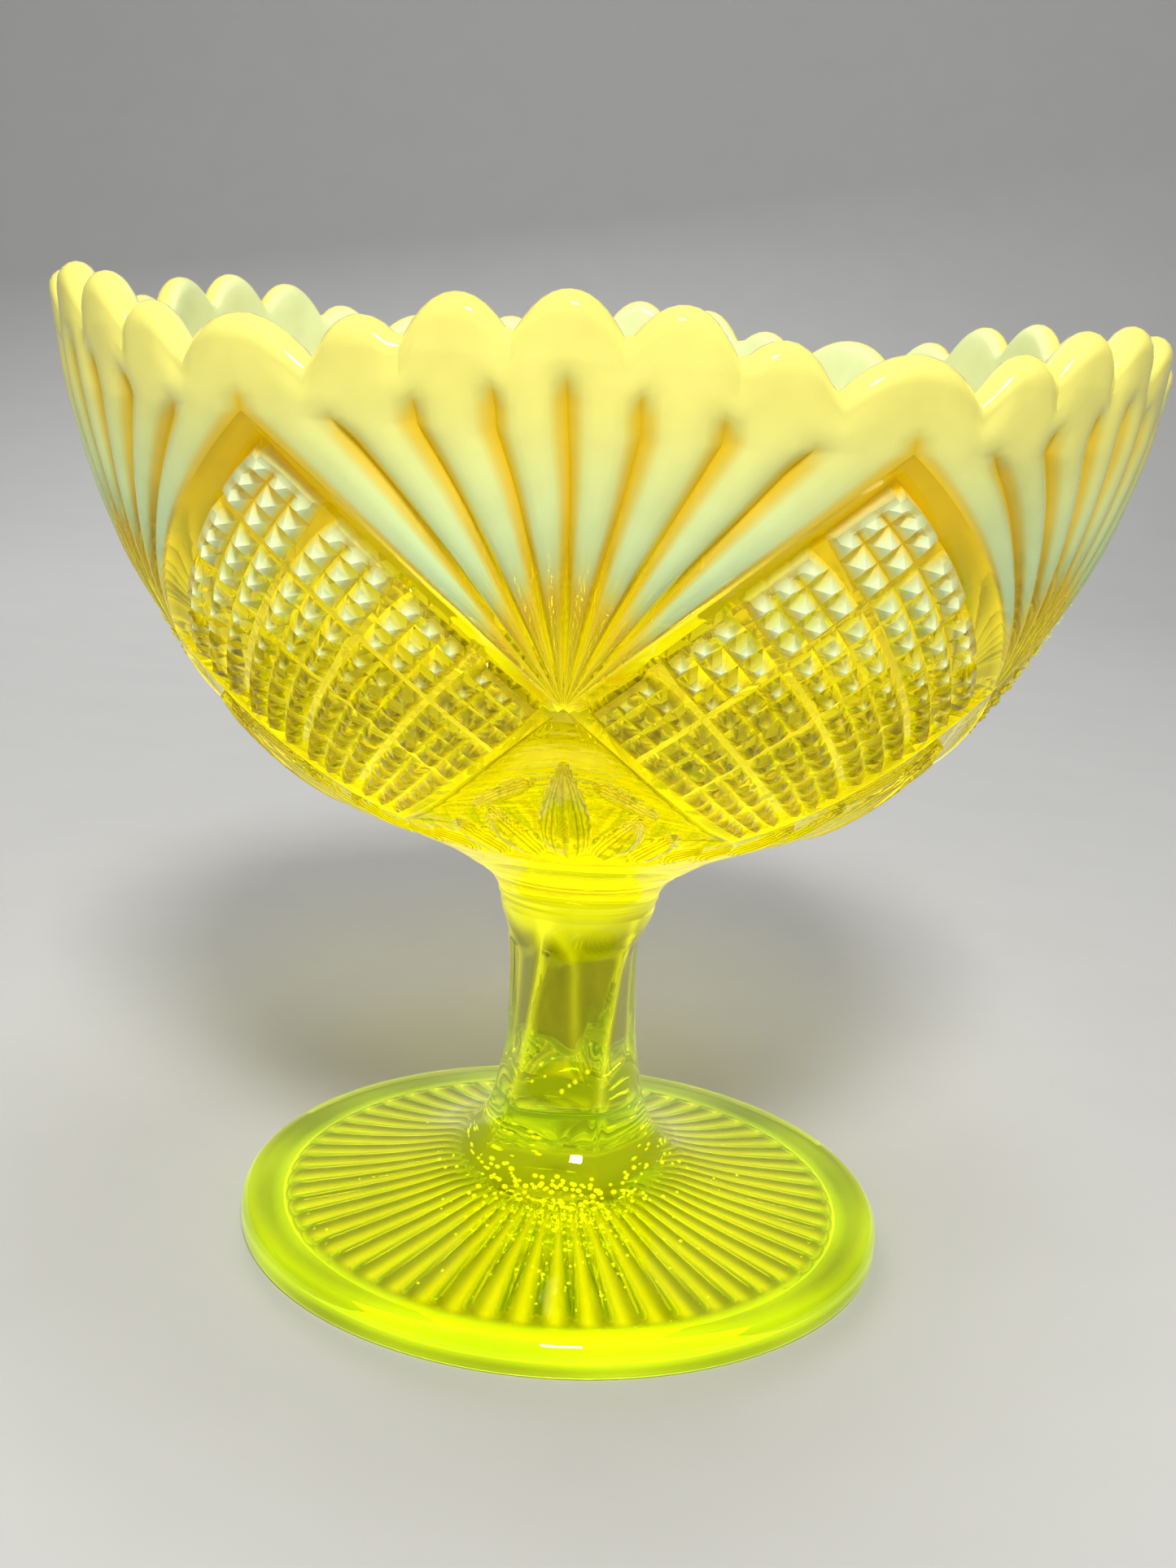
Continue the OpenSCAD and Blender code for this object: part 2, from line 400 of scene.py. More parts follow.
def side_grid(m):
    """Places along a diamond's side for dividers of half width m, as shares."""
    m = np.asarray(m, float)[..., None]
    w = (1 - 2 * m) / NAILS
    one = [0 * m, m]
    for i in range(NAILS):
        for f in (0.27, 0.5, 0.73, 1.0):
            one.append(m + w * (i + f))
    one = np.concatenate(one, -1)                       # 14 places, 1 - m the last
    g = np.concatenate([(b + one) / BLOCKS for b in range(BLOCKS)] + [1 + 0 * m], -1)
    g = g * (1 - BAND)
    tail = 1 - BAND * np.array([0.66, 0.33, 0.0]) + 0 * m
    return np.concatenate([g, tail], -1)


UG = side_grid(WIDE)                                    # along the edge that has the band
LOWG = side_grid(FINE)                                  # along the edge that has none
NG = len(UG)


def nail_share(c, m):
    """0 in a divider (below 0 at its bottom), 0..1 over the nails. c runs 0..BLOCKS."""
    f = c - np.floor(c + 1e-9)
    f = np.clip(f, 0, 1)
    edge = np.minimum(f, 1 - f)
    g = (f - m) / (1 - 2 * m) * NAILS
    y = 2 * (g - np.floor(g + 1e-7)) - 1
    nail = np.clip(1 - np.abs(y), 0, 1)
    return np.where(edge < m - 1e-7, -0.42 * (1 - edge / m) * (0.6 + 0.4 * (m - FINE) / (WIDE - FINE)), nail)


def diamond(u, v):
    """Height, tip share and arc length of a diamond's surface."""
    s = s_of(u - v)
    hb = nail_depth(s)
    cu = u / (1 - BAND) * BLOCKS
    cv = (v - BAND) / (1 - BAND) * BLOCKS
    inside = (cu <= BLOCKS + 1e-9) & (cv >= -1e-9)
    mu, mv = divider(np.clip(v - BAND, 0, 1)), divider(np.clip(1 - BAND - u, 0, 1))
    pu = nail_share(np.clip(cu, 0, BLOCKS), mu)
    pv = nail_share(np.clip(cv, 0, BLOCKS), mv)
    t = np.minimum(pu, pv)
    # the outer row runs up into a shelf beside the mitre band
    nail = (1 - 2 * FINE) / NAILS
    near_v = 1 - smooth(cv, 0.30 * nail, 0.85 * nail)
    near_u = 1 - smooth(BLOCKS - cu, 0.30 * nail, 0.85 * nail)
    fu = np.minimum(cu - np.floor(cu), np.ceil(cu) - cu)
    fv = np.minimum(cv - np.floor(cv), np.ceil(cv) - cv)
    shelf = np.maximum(0.46 * near_v * smooth(fu, 0.8 * WIDE, 1.7 * WIDE),
                       0.46 * near_u * smooth(fv, 0.8 * WIDE, 1.7 * WIDE))
    t = np.where((cv > 1e-6) & (cu < BLOCKS - 1e-6), np.maximum(t, shelf), t)
    tip = np.where(t > 0.7, 0.7 + 0.30 * (1 - np.exp(-(t - 0.7) / 0.30)), t)
    field = np.where(inside, -hb + hb * tip, -1.25 * hb)
    floor = -1.25 * hb
    walls = np.full_like(field, -99.0)
    walls = np.where(v < BAND, np.maximum(walls, lerp(EDGE, floor, v / BAND)), walls)
    walls = np.where(u > 1 - BAND, np.maximum(walls, lerp(EDGE, floor, (1 - u) / BAND)), walls)
    low = 0.055
    walls = np.where(cu < low, np.maximum(walls, lerp(EDGE, floor, cu / low)), walls)
    walls = np.where(cv > BLOCKS - low,
                     np.maximum(walls, lerp(EDGE, floor, (BLOCKS - cv) / low)), walls)
    h = np.maximum(field, walls)
    return h, np.clip(np.where(inside, tip, 0), 0, 1), s


def diamond_grid():
    """Grid of (u, v) whose lines follow the dividers as they taper."""
    i = np.arange(NG)
    run_v = (1 - UG)[::-1]                              # nominal places across
    gu = side_grid(divider(np.clip(run_v - BAND, 0, 1)))            # (cols, rows)
    gu[-1] = LOWG
    gu[0] = UG
    gv = 1 - side_grid(divider(np.clip(1 - BAND - UG, 0, 1)))[:, ::-1]   # (rows, cols)
    gv[0] = 1 - LOWG[::-1]
    gv[-1] = 1 - UG[::-1]
    U = gu.T.copy()
    V = gv.copy()
    return U, V


# Fan: grooves at these shares of the way from its middle to its arris.
GROOVE = [0.0, 0.2, 0.43, 0.69, 1.0]
G_TOP = [97.0, 95.6, 93.8, 91.2, 0.0]


def fan_cols(n):
    p = []
    for i in range(4):
        x = np.linspace(0, 1, n + 1)
        x = 0.5 - 0.5 * np.cos(np.pi * x) * (0.55) - 0.45 * (1 - 2 * x) * 0.5
        p += list(lerp(GROOVE[i], GROOVE[i + 1], np.linspace(0, 1, n + 1)))[:-1]
    p = np.array(p + [1.0])
    return np.concatenate([-p[::-1], p[1:]])


PC = fan_cols(8)
LP = np.linspace(-1, 1, 57)


def petal(p, s):
    """0 in a groove, 1 on a petal's crest; grooves run out at their tops."""
    q = np.abs(p)
    i = np.clip(np.searchsorted(GROOVE, q, side="right") - 1, 0, 3)
    lo, hi = np.array(GROOVE)[i], np.array(GROOVE)[i + 1]
    x = (q - lo) / (hi - lo)
    g = np.abs(2 * x - 1) ** 2.2
    top = np.where(x < 0.5, np.array(G_TOP)[i], np.array(G_TOP)[i + 1])
    run = smooth((top - s) / 5.0)
    edge = (i == 3) & (x > 0.5)
    run = np.where(edge, smooth((93.5 - s) / 6.0), run)
    dep = np.where(edge, 0.22, 1.0)
    return 1 - g * run, g * run * dep


def fan(p, w):
    """Below the diamonds' tops: p across, w up."""
    s = s_of(w) + 0 * p
    share, cut = petal(p, s)
    d = 1.45 * np.clip(w * 1.9, 0, 1) ** 0.9
    crown = 0.12 * (1 - np.abs(p) ** 2) * smooth(w * 2)
    h = EDGE * (1 - smooth(w * 3)) + crown - d * cut
    h = np.where((np.abs(p) > 0.999) | (w <= 0), EDGE, h)
    return h, share, s


def leaf(x, y, x0, y0, x1, y1, wid):
    """A domed leaf with a pointed end at (x1, y1): 1 along its spine, 0 outside."""
    dx, dy = x1 - x0, y1 - y0
    ln = math.hypot(dx, dy)
    t = np.clip(((x - x0) * dx + (y - y0) * dy) / (ln * ln), 0, 1)
    d = np.hypot(x - (x0 + t * dx), y - (y0 + t * dy))
    half = wid * np.maximum(np.sin(np.pi * t ** 0.85), 0) ** 0.75 + 1e-6
    return np.clip(1 - (d / half) ** 2, 0, 1) ** 0.8


LEAVES = [(0, 15.5, 0, 45.5, 3.3), (3.9, 17.0, 9.2, 34.2, 2.7), (8.6, 15.0, 13.8, 29.6, 2.3),
          (3.6, 41.5, 11.5, 34.8, 1.3), (12.8, 14.0, 17.8, 23.5, 2.0)]


def palmette(a, s):
    """Leaves fanned under a crossing. a is from its middle. Returns dome and ridge."""
    x, y = np.abs(np.radians(a)) * at_s(s)[0], s
    h = np.zeros_like(x)
    for spec in LEAVES:
        h = np.maximum(h, leaf(x, y, *spec))
    ridge = np.clip(1 - x / 0.8, 0, 1) * smooth(y, 18, 24) * (1 - smooth(y, 41, 46))
    return h, ridge


def low_relief(a, s, edge):
    dome, ridge = palmette(a, s)
    return EDGE - 0.95 * edge + (1.0 * dome + 0.35 * ridge) * edge, dome


# Colours of the glass, linear
CREAM = (1.0, 0.92, 0.21)
LEMON = (0.97, 0.90, 0.22)
PALE = (0.80, 0.90, 0.37)
MINT = (0.61, 0.84, 0.48)
NAIL_HI = (0.80, 0.93, 0.56)
NAIL_LO = (0.72, 0.90, 0.66)
OCHRE = (0.97, 0.63, 0.003)
INNER = (0.86, 0.95, 0.50)
BLUSH = (1.0, 0.58, 0.04)
GOLD = (1.0, 0.86, 0.01)
BRIGHT = (1.0, 0.925, 0.012)


def clear_tint(z):
    c = mix3(BRIGHT, GOLD, smooth(z, 80, 98))
    return mix3(c, OCHRE, smooth(z, 98, 116))


def opal_tint(z):
    c = mix3(MINT, PALE, smooth(z, 101, 118))
    c = mix3(c, LEMON, smooth(z, 113, 126))
    return mix3(c, CREAM, smooth(z, 124, 133))


def warmth(z):
    """The struck glass isn't quite clear even where it is thin: amber, and dense."""
    return 0.80 * smooth(z, 99, 115)


def painted_light_by_height(z):
    """Painted glow of the bowl's glass at this height, stronger towards the bottom: it stands in for light,
    only partly for the glass's own fluorescence.
    """
    return 0.015 + 0.19 * (1 - smooth(z, 60, 82)) + 0.035 * (1 - smooth(z, 84, 108))


def fan_looks(z, share, p):
    side = np.abs(p)
    o = smooth(share, 0.22, 0.88) * smooth(z, 99 - 6 * side, 115 - 9 * side) * 0.94
    o = np.maximum(o, smooth(z, 125, 129.5))
    t = mix3(clear_tint(z), opal_tint(z), smooth(o, 0.0, 0.75))
    t = mix3(t, BLUSH, 0.55 * smooth(o, 0.0, 0.15) * (1 - smooth(o, 0.2, 0.55)) * (1 - smooth(z, 104, 114)))
    return t, np.maximum(o, warmth(z))


# ----------------------------------------------------------------- the bowl
def make_bowl():
    sh = Shell()
    for k in range(6):
        c = 60.0 * k
        # fan, from the crossing to the level of the diamonds' tops
        W, P = np.meshgrid(UG, PC, indexing="ij")
        h, share, s = fan(P, W)
        z = at_s(s)[1]
        tint, op = fan_looks(z, share, P)
        ro = 0.012 + 0 * z
        # painted glow, brighter on the arris and along the groove lines near the crossing, stands in for
        # light
        sh.grid(skin(c + 30 * P * W, s, h), tint, op, ro,
                painted_glow=painted_light_by_height(z) + 0.20 * (np.abs(P) > 0.999) * (1 - smooth(z, 104, 116))
                + 0.13 * (1 - smooth(share, 0.0, 0.5)) * (1 - smooth(z, 98, 110)))
        # from there to the rim
        a = 30 * PC
        tau = np.concatenate([np.linspace(0, 0.55, 11), 0.55 + 0.45 * np.linspace(0, 1, 13)[1:]])
        T, A = np.meshgrid(tau, a, indexing="ij")
        E = s_end(A)
        s = lerp(S_T, E, T)
        p = A / 30
        share, cut = petal(p, s)
        crown = 0.12 * (1 - np.abs(p) ** 2) * (1 - smooth(T, 0, 0.5))
        crease = -0.8 * (1 - lobe(A)) * smooth(T, 0.30, 1.0) ** 1.4
        h = crown - 1.45 * cut
        h = np.where(np.abs(p) > 0.999, lerp(EDGE, h, smooth(T, 0, 0.14)), h) + crease
        z = at_s(s)[1]
        tint, op = fan_looks(z, share, p)
        sh.grid(skin(c + A, s, h), tint, op, 0.015 + 0 * z, painted_glow=0.02)
        # rolled rim
        E1, n = s_end(a), 9
        cr = -0.8 * (1 - lobe(a))
        ph = np.radians(np.linspace(0, 180, n))[:, None]
        r, z0, nr, nz = at_s(E1)
        hw = (WALL_RIM + cr) / 2
        mr, mz = r + nr * (cr - hw), z0 + nz * (cr - hw)
        rr = mr + hw * (np.cos(ph) * nr + np.sin(ph) * (-nz))
        zz = mz + hw * (np.cos(ph) * nz + np.sin(ph) * nr)
        sh.grid(round_xyz(rr, c + a + lean(E1) + 0 * ph, zz), mix3(opal_tint(zz), INNER, smooth(ph + 0 * zz, 1.4, 3.0)), 1.0, 0.012, painted_glow=0.02)
        # inside, from the rim down
        sig = 1 - np.linspace(0, 1, 27) ** 1.15
        G, A = np.meshgrid(sig, a, indexing="ij")
        s = G * s_end(A)
        z = at_s(s)[1]
        o = smooth(z, 104, 122)
        # painted glow on the inside, stronger low down
        sh.grid(skin(c + A, s, -wall(s)),
                mix3(clear_tint(z), mix3(PALE, INNER, smooth(z, 110, 124)), smooth(o, 0, 0.7)),
                o, 0.015 + 0 * z, painted_glow=painted_light_by_height(z) * 0.8)
        # diamond on the fan's +X side
        U, V = diamond_grid()
        h, tip, s = diamond(U, V)
        mid = diamond((U[:-1, :-1] + U[1:, 1:] + U[1:, :-1] + U[:-1, 1:]) / 4,
                      (V[:-1, :-1] + V[1:, 1:] + V[1:, :-1] + V[:-1, 1:]) / 4)[0]
        split = (np.abs((h[:-1, :-1] + h[1:, 1:]) / 2 - mid)
                 < np.abs((h[1:, :-1] + h[:-1, 1:]) / 2 - mid))
        z = at_s(s)[1]
        o = smooth(tip, lerp(0.44, 0.26, smooth(z, 90, 112)), lerp(0.78, 0.66, smooth(z, 90, 112))) \
            * smooth(z, 85, 99)
        t = mix3(clear_tint(z), mix3(NAIL_LO, NAIL_HI, smooth(z, 94, 108)), smooth(o, 0.0, 0.7))
        # painted shade: the clear nail bodies are darkened; the glow below is painted highlight on the
        # dividers, the arrises and the milky tips
        nail_painted_shade = mix3((1, 1, 1), (0.40, 0.35, 0.4), smooth(tip, 0.04, 0.5) * (1 - smooth(o, 0, 0.3)))
        sh.grid(skin(c + 30 * (U + V), s, h), t * nail_painted_shade, np.maximum(o * 0.95, warmth(z) * (1 - o)),
                0.010 + 0 * z, split=split,
                painted_glow=painted_light_by_height(z) * (0.3 + 1.5 * (1 - smooth(tip, 0.0, 0.30)))
                + 0.10 * (1 - smooth(tip, 0.0, 0.22)) + 0.10 * o
                + 0.20 * (h > EDGE - 0.02) * (1 - smooth(z, 104, 116)))
        # palmette under the crossing
        Wd, P = np.meshgrid((1 - LOWG)[::-1], LP, indexing="ij")
        s = s_of(-Wd)
        # painted shade: contour lines over the leaves and banded lines across the ground between them; the
        # glow is painted, brighter off the leaves and on the arris
        h, contour_shade_and_bump = low_relief(30 * P * Wd, s, (1 - np.abs(P) ** 6) * smooth(Wd * 4))
        plain = 0.10 + 0.16 * np.abs(np.sin(1.3 * s + 9 * np.abs(P) * Wd)) * smooth(Wd * 3)
        sh.grid(skin(c + 30 * P * Wd, s, h), mix3(BRIGHT, GOLD, 0.75 * (1 - smooth(Wd, 0.2, 1.0))),
                0.0, 0.02, flip=True, contour_shade_and_bump=np.maximum(contour_shade_and_bump, plain * (1 - smooth(contour_shade_and_bump * 6)) * (1 - smooth(np.abs(P), 0.86, 0.95))),
                painted_glow=painted_light_by_height(at_s(s)[1]) * (0.40 + 0.45 * (1 - contour_shade_and_bump)) + 0.22 * (np.abs(P) > 0.999))
        # plain zone down to the joining wafer
        G, P = np.meshgrid(np.linspace(0, 1, 29), LP, indexing="ij")
        A = 30 * P
        s = lerp(S_B, 0, G)
        h, contour_shade_and_bump = low_relief(A, s, 1 - np.abs(P) ** 6 * (1 - smooth(G, 0, 0.35)))
        k = smooth(s, 11.5, 19)
        h = np.where(G >= 1, 0, h * k + 0.12 * np.cos((s - 8.5) * 1.6) * np.exp(-((s - 8.5) / 2.4) ** 2))
        # painted shade: contour lines over the leaves, with painted glow brighter off them and near the
        # wafer
        sh.grid(skin(c + A, s, h), clear_tint(at_s(s)[1]), 0.0, 0.015, flip=True, contour_shade_and_bump=contour_shade_and_bump * k,
                painted_glow=painted_light_by_height(at_s(s)[1]) * (0.55 + 0.45 * (1 - contour_shade_and_bump * k)) + 0.1 * (1 - smooth(s, 0, 12)))
    # bottom of the hollow, and the joined plane under the bowl
    r, z0, nr, nz = at_s(np.array([0.0]))
    ri, zi = float(r[0] - nr[0] * WALL_LOW), float(z0[0] - nz[0] * WALL_LOW)
    a = np.concatenate([60.0 * k + 30 * PC[:-1] for k in range(6)])
    f = np.linspace(1, 0.12, 8)
    R, A = np.meshgrid(f * ri, a, indexing="ij")
    Z = zi - 0.55 * (1 - (R / ri) ** 2)
    # painted glow in the bottom of the hollow
    sh.grid(round_xyz(R, A, Z), BRIGHT, 0.0, 0.02, wrap=True, painted_glow=0.15)
    cap(sh, round_xyz(R[-1], a, Z[-1]), np.array([0, 0, zi - 0.55]), True, BRIGHT, joint=0)
    a = np.concatenate([60.0 * k + 30 * LP[:-1] for k in range(6)])
    cap(sh, round_xyz(17.0 + 0 * a, a, BASE + 0 * a), np.array([0, 0, BASE]), False, BRIGHT)
    return sh.make("bowl_glass", OPAL)


# --------------------------------------------------------- stem and its ends
SIDES, TWIST = 5, 0.77


def facet(g, w):
    h = 180.0 / SIDES
    a = g - 2 * h * np.round(g / (2 * h))
    flat = math.cos(math.radians(h)) / np.cos(np.radians(a))
    soft = 1 - 0.05 * np.exp(-((h - np.abs(a)) / 5.0) ** 2)
    return lerp(1.0, flat * lerp(1.0, soft, 0.7), w)


def turned(r, a, z, w):
    g = a - 6.7 - TWIST * (z - 39.3)
    return round_xyz(r * facet(g, w), a, z)


STEM_A = np.linspace(0, 360, 180, endpoint=False)
STEM_R, NECK = 10.3, 11.3
HAIR = 0.004


def facet_weight(z):
    up = 0.93 * (1 - smooth(z, STEM_HI - 7.5, STEM_HI + 0.0)) 
    lo = lerp(0.42, 1.0, smooth(z, STEM_LO, STEM_LO + 7.5))
    return up * lo


def make_stem():
    sh = Shell()
    z = np.linspace(STEM_LO + HAIR, STEM_HI - HAIR, 57)
    Z, A = np.meshgrid(z, STEM_A, indexing="ij")
    t = (Z - STEM_LO) / (STEM_HI - STEM_LO)
    R = lerp(STEM_R, NECK, np.abs(2 * t - 1) ** 2.6)
    xyz = turned(R, A, Z, facet_weight(Z))
    g = A - 6.7 - TWIST * (Z - 39.3)
    off = 180.0 / SIDES - np.abs(g - 360.0 / SIDES * np.round(g / (360.0 / SIDES)))
    arris = np.exp(-(off / 4.5) ** 2)
    # painted shade: the flat panes are tinted darker olive for the darkness seen through them; the glow
    # below is painted highlight on the arrises and the stem's top
    painted_shade_pane = (1 - arris) * smooth(Z, STEM_LO + 5, STEM_LO + 9) * (1 - smooth(Z, STEM_HI - 8, STEM_HI - 4))
    tint = mix3((1.0, 0.96, 0.03), (0.70, 0.66, 0.01), painted_shade_pane)
    sh.grid(xyz, tint, 0.0, 0.012, wrap=True,
            painted_glow=0.02 + 0.30 * smooth(Z, STEM_HI - 5, STEM_HI) + 0.26 * arris)
    # the bubbles carry painted glow that stands for their glints
    rng = np.random.default_rng(5)
    at = [(7.6, rng.uniform(0, 360) if i > 5 else rng.uniform(-30, 40), STEM_LO + rng.uniform(1.2, 5)) for i in range(12)]
    bubbles(sh, [round_xyz(r + rng.uniform(-2, 0.6), a, z) for r, a, z in at],
            rng.uniform(0.24, 0.45, 12), (1.0, 0.98, 0.14), 0.32)
    cap(sh, xyz[-1], np.array([0, 0, z[-1]]), True, (1, 1, 1))
    cap(sh, xyz[0], np.array([0, 0, z[0]]), False, (1, 1, 1))
    return sh.make("stem_glass", CLEAR, sharp=60)


def make_wafer():
    sh = Shell()
    line = bezier([(NECK, STEM_HI), (NECK + 0.2, lerp(STEM_HI, BASE, 0.5)),
                   (lerp(NECK, 17.0, 0.5), lerp(STEM_HI, BASE, 0.8)), (17.0, BASE)],
                  np.linspace(0, 1, 33))
    a = np.linspace(0, 360, 192, endpoint=False)
    r, z = line[:, 0], line[:, 1]
    ring = 0.16 * np.exp(-((z - STEM_HI - 1.7) / 0.35) ** 2) \
        + 0.14 * np.exp(-((z - BASE + 1.6) / 0.4) ** 2)
    R, A = np.meshgrid(r + ring, a, indexing="ij")
    Z = z[:, None] + 0 * A
    Z[-1] = BASE - HAIR
    # painted glow, stronger towards the bowl, makes the wafer brighter than its lighting does
    sh.grid(round_xyz(R, A, Z), BRIGHT, 0.0, 0.02, wrap=True,
            painted_glow=lerp(0.26, 0.42, smooth(Z, STEM_HI, BASE)))
    cap(sh, round_xyz(R[-1], a, Z[-1]), np.array([0, 0, BASE - HAIR]), True, (1, 1, 1))
    cap(sh, round_xyz(R[0], a, Z[0]), np.array([0, 0, STEM_HI]), False, (1, 1, 1))
    return sh.make("joining_wafer_glass", CLEAR, sharp=60)


RIBS = 54
RING_IN = 41.0


def make_foot():
    sh = Shell()
    n = RIBS * 10
    a = np.linspace(0, 360, n, endpoint=False)
    dome = bezier([(NECK, STEM_LO), (NECK + 2.2, 8.2), (NECK + 14, 8.6),
                   (FOOT_R - 1.2, 5.2)], np.linspace(0, 1, 46))
    edge = np.array([(FOOT_R - 0.75, 4.75), (FOOT_R - 0.35, 4.2), (FOOT_R - 0.08, 3.6),
                     (FOOT_R, 3.0), (FOOT_R, 2.0), (FOOT_R, 1.1), (FOOT_R - 0.12, 0.6),
                     (FOOT_R - 0.4, 0.22), (FOOT_R - 0.9, 0.0)])
    top = np.concatenate([dome, edge])
    R, A = np.meshgrid(top[:, 0], a, indexing="ij")
    Z = top[:, 1][:, None] + 0 * A
    w = facet_weight(np.maximum(Z, STEM_LO)) * (1 - smooth(R, NECK, NECK + 12))
    xyz = turned(R, A, Z, w)
    low, high = (0.95, 0.985, 0.03), (0.98, 0.985, 0.03)
    tint = mix3(high, low, smooth(R, 12, 30))
    tint = mix3(tint, (0.86, 0.97, 0.02), smooth(R, FOOT_R - 3.0, FOOT_R))
    # painted glow, stronger towards the rim, in a bright line just inside its edge and near the stem
    sh.grid(xyz, tint, 0.0, 0.015, wrap=True, flip=True,
            painted_glow=lerp(0.02, 0.10, smooth(R, FOOT_R - 5, FOOT_R - 1)) + 0.07 * (1 - smooth(R, 12, 20))
            + 0.16 * np.exp(-((R - FOOT_R + 1.0) / 0.5) ** 2))
    cap(sh, xyz[0], np.array([0, 0, STEM_LO]), True, (1, 1, 1))
    # resting ring, wall of the recess, ribbed cone and its plain middle
    r = np.concatenate([[FOOT_R - 0.9, 45.0, 43.0, RING_IN, RING_IN - 0.5],
                        np.linspace(RING_IN - 1.1, 13.5, 30), [12.4, 10.5, 7.5, 4.0]])
    z = np.interp(r, [0, 12.0, RING_IN - 0.5, RING_IN, 60], [5.45, 5.45, 0.9, 0.0, 0.0])
    R, A = np.meshgrid(r, a, indexing="ij")
    ph = (A / 360 * RIBS) % 1.0
    rib = np.abs(np.sin(np.pi * ph)) ** 0.8          # rounded ribs with sharp valleys between
    amp = 0.95 * smooth(R, 12.5, 17.5) * (1 - smooth(R, RING_IN - 1.6, RING_IN - 0.6))
    Z = z[:, None] + amp * (1 - rib)
    # painted highlight and shade: the rib crests are tinted bright yellow and glow, the valleys dark green;
    # the resting ring and the plain middle get painted glow
    line = rib ** 3 * smooth(R, 12.5, 17.5) * (1 - smooth(R, RING_IN - 1.6, RING_IN - 0.6))
    under = mix3((0.66, 0.71, 0.01), (1.0, 0.92, 0.02), line)
    ringed = smooth(R, RING_IN - 1.5, RING_IN)
    under = mix3(under, (0.80, 0.95, 0.01), ringed)
    sh.grid(round_xyz(R, A, Z), under, 0.0, 0.02, wrap=True, flip=True,
            painted_glow=0.06 + 0.50 * line + ringed * (0.36 + 0.12 * np.sin(np.radians(3 * A + 40)) * np.sin(np.radians(7 * A)))
            + 0.30 * np.exp(-((R - RING_IN) / 0.6) ** 2) + 0.18 * (1 - smooth(R, 12, 17)))
    cap(sh, round_xyz(R[-1], a, Z[-1]), np.array([0, 0, 5.45]), False, high, joint=0)
    # bubbles caught where the ribs begin, and a few strays further out; their glow is painted glint
    rng = np.random.default_rng(11)
    spots, sizes = [], []
    for i in range(230):
        near = i < 165
        az = rng.uniform(0, 360) if i % 3 == 0 else rng.normal(4, 30)
        rr = rng.uniform(9.0, 18.0) if near else 18 + 20 * rng.random() ** 1.6
        zz = np.interp(rr, [12.0, RING_IN - 0.5], [5.45, 0.9]) + 0.95 + rng.uniform(0.5, 1.4)
        zz = zz + (rng.uniform(0, 2.2) if rr < 13.5 else 0.0)
        p = round_xyz(rr, az, zz)
        b = rng.uniform(0.25, 0.46) * (1.0 if near else 0.8)
        if all(np.linalg.norm(p - q) > b + c + 0.04 for q, c in zip(spots, sizes)):
            spots.append(p)
            sizes.append(b)
    bubbles(sh, spots, sizes, (1.0, 0.98, 0.16), 0.42)
    return sh.make("foot_glass_piece", FOOTG, sharp=60)


bowl = make_bowl()
stem = make_stem()
wafer = make_wafer()
foot = make_foot()
for piece, node, slot in ((bowl, "bowl", "opalescent_glass"), (wafer, "joining_wafer", "uranium_glass"),
                          (stem, "stem", "uranium_glass"), (foot, "foot", "foot_glass")):
    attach(piece, "root")
    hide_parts(node)

# -------------------------------------------------------------------- stage
def stage_material(name, rgb):
    m = bpy.data.materials.new(name)
    m.use_nodes = True
    nt = m.node_tree
    p = nt.nodes["Principled BSDF"]
    n = nt.nodes.new("ShaderNodeTexNoise")
    n.inputs["Scale"].default_value = 40.0
    n.inputs["Detail"].default_value = 4.0
    tc = nt.nodes.new("ShaderNodeTexCoord")
    nt.links.new(tc.outputs["Object"], n.inputs["Vector"])
    ramp = nt.nodes.new("ShaderNodeMapRange")
    ramp.inputs["To Min"].default_value = 0.97
    ramp.inputs["To Max"].default_value = 1.03
    nt.links.new(n.outputs["Fac"], ramp.inputs["Value"])
    hsv = nt.nodes.new("ShaderNodeHueSaturation")
    hsv.inputs["Color"].default_value = (*rgb, 1)
    nt.links.new(ramp.outputs["Result"], hsv.inputs["Value"])
    nt.links.new(hsv.outputs["Color"], p.inputs["Base Color"])
    p.inputs["Roughness"].default_value = 0.85
    return m


def make_floor():
    pts, faces, n = [], [], 33
    ys = [-1.4, 0.55]
    line = [(-1.6, 0.0), (0.7, 0.0)]
    for i in range(13):
        g = math.radians(i * 90 / 12)
        line.append((0.7 + 0.5 * math.sin(g), 0.5 - 0.5 * math.cos(g)))
    line.append((1.2, 2.2))
    for y, z in line:
        pts += [(-2.4, y, z), (2.4, y, z)]
    for i in range(len(line) - 1):
        faces.append((2 * i, 2 * i + 1, 2 * i + 3, 2 * i + 2))
    me = bpy.data.meshes.new("floor")
    me.from_pydata(pts, [], faces)
    me.polygons.foreach_set("use_smooth", [True] * len(faces))
    me.update()
    ob = bpy.data.objects.new("floor", me)
    me.materials.append(stage_material("pale_floor", (0.58, 0.58, 0.575)))
    bpy.context.scene.collection.objects.link(ob)


make_floor()


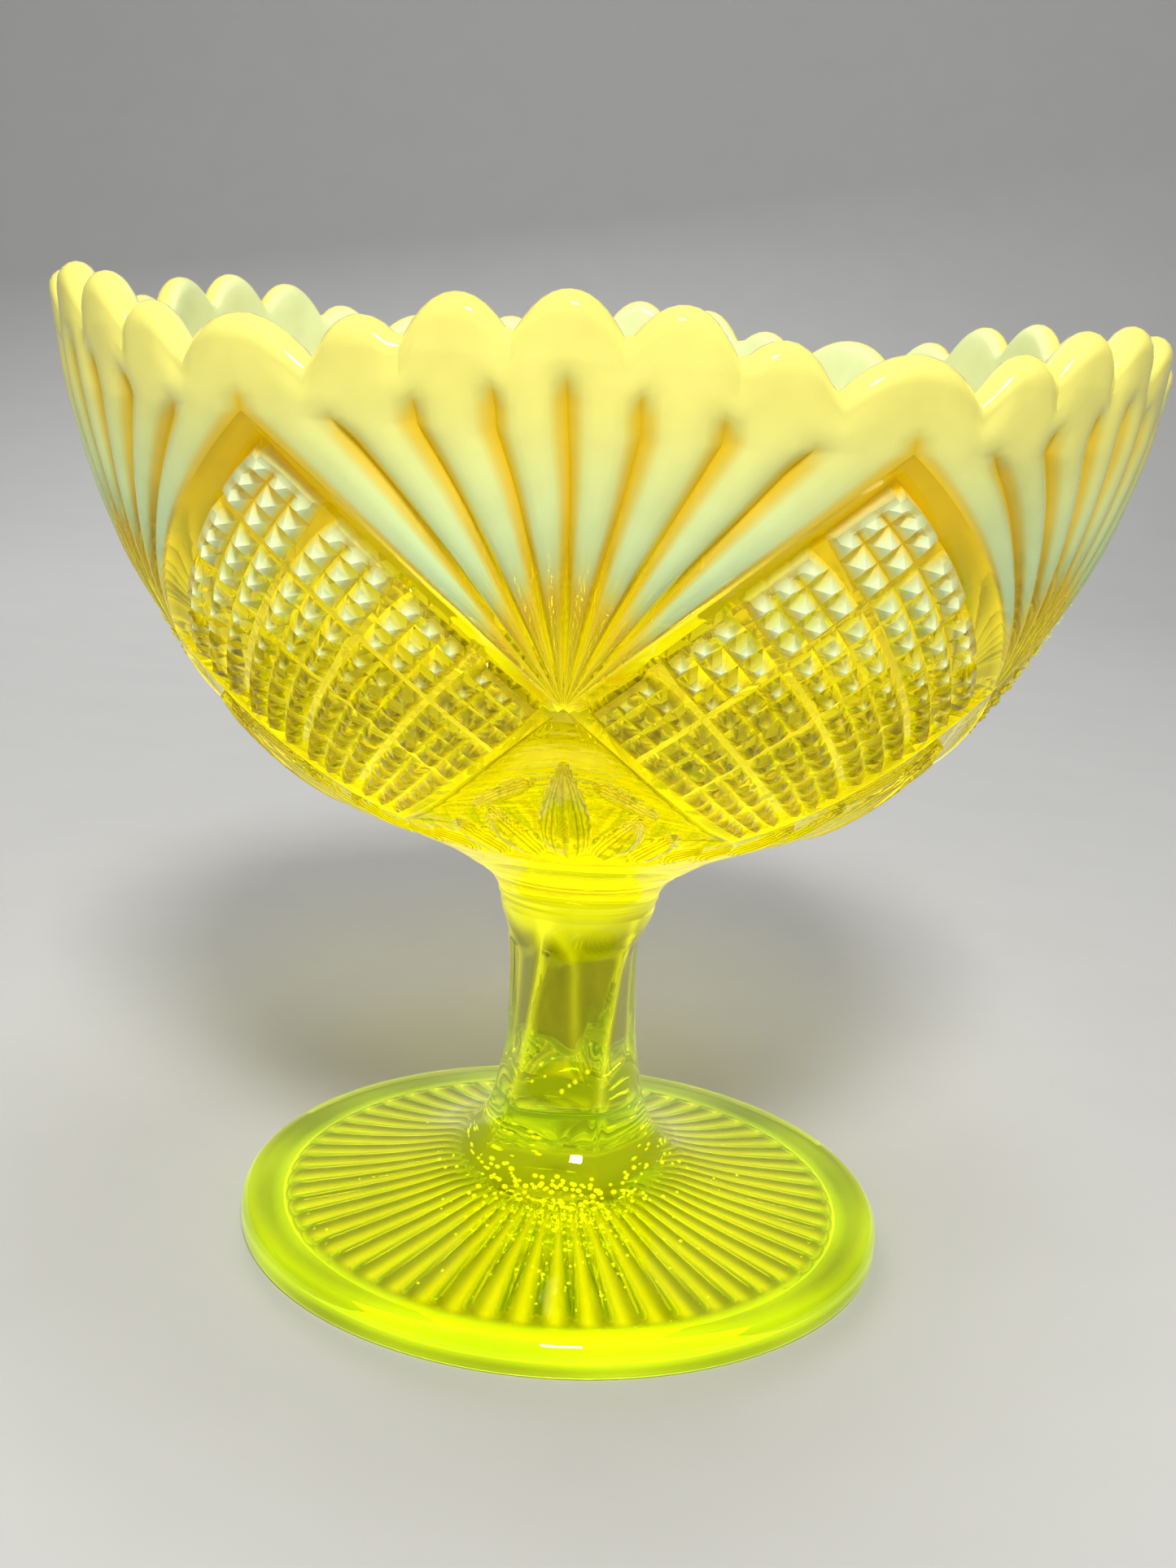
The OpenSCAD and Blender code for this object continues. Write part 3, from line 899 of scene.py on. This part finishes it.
def area(name, loc, target, size, power, rgb=(1, 1, 1), size_y=None):
    d = bpy.data.lights.new(name, "AREA")
    d.energy, d.color, d.size = power, rgb, size
    if size_y:
        d.shape, d.size_y = "RECTANGLE", size_y
    o = bpy.data.objects.new(name, d)
    o.location = loc
    o.rotation_mode = "QUATERNION"
    o.rotation_quaternion = (Vector(target) - Vector(loc)).to_track_quat("-Z", "Y")
    bpy.context.scene.collection.objects.link(o)
    return o


area("key", (0.10, -0.78, 0.86), (0, 0, 0.08), 0.22, 11.0, (1.0, 0.985, 0.96))
for soft in (area("fill", (-0.85, -0.35, 0.45), (0, 0, 0.08), 0.7, 1.6, (0.97, 0.98, 1.0)),
             area("back", (-0.2, 0.8, 0.6), (0, 0, 0.08), 0.5, 3.0, (1.0, 1.0, 0.98)),
             area("top", (0.1, 0.0, 1.1), (0, 0, 0.1), 0.4, 2.5)):
    soft.visible_glossy = False
    soft.visible_transmission = False

world = bpy.data.worlds.new("studio")
bpy.context.scene.world = world
world.use_nodes = True
bg = world.node_tree.nodes["Background"]
bg.inputs["Color"].default_value = (0.89, 0.90, 0.92, 1)
bg.inputs["Strength"].default_value = 0.14

# ------------------------------------------------------------------- camera
cam_data = bpy.data.cameras.new("camera")
cam = bpy.data.objects.new("camera", cam_data)
bpy.context.scene.collection.objects.link(cam)
turn, pitch, roll = -0.0484, 0.2405, 0.0624
fw = Vector((math.sin(turn) * math.cos(pitch), math.cos(turn) * math.cos(pitch), -math.sin(pitch)))
right = fw.cross(Vector((0, 0, 1))).normalized()
upv = right.cross(fw)
r2 = right * math.cos(roll) + upv * math.sin(roll)
u2 = upv * math.cos(roll) - right * math.sin(roll)
rot = Matrix((r2, u2, -fw)).transposed()
cam.matrix_world = Matrix.Translation(Vector((0.01349, -0.27060, 0.13410))) @ rot.to_4x4()
cam_data.sensor_width = 36.0
cam_data.lens = 44.39
cam_data.clip_start = 0.01
cam_data.clip_end = 50
bpy.context.scene.camera = cam
bpy.context.scene.view_settings.view_transform = "Standard"
bpy.context.scene.cycles.transmission_bounces = 24
bpy.context.scene.cycles.max_bounces = 28
bpy.context.scene.cycles.transparent_max_bounces = 16
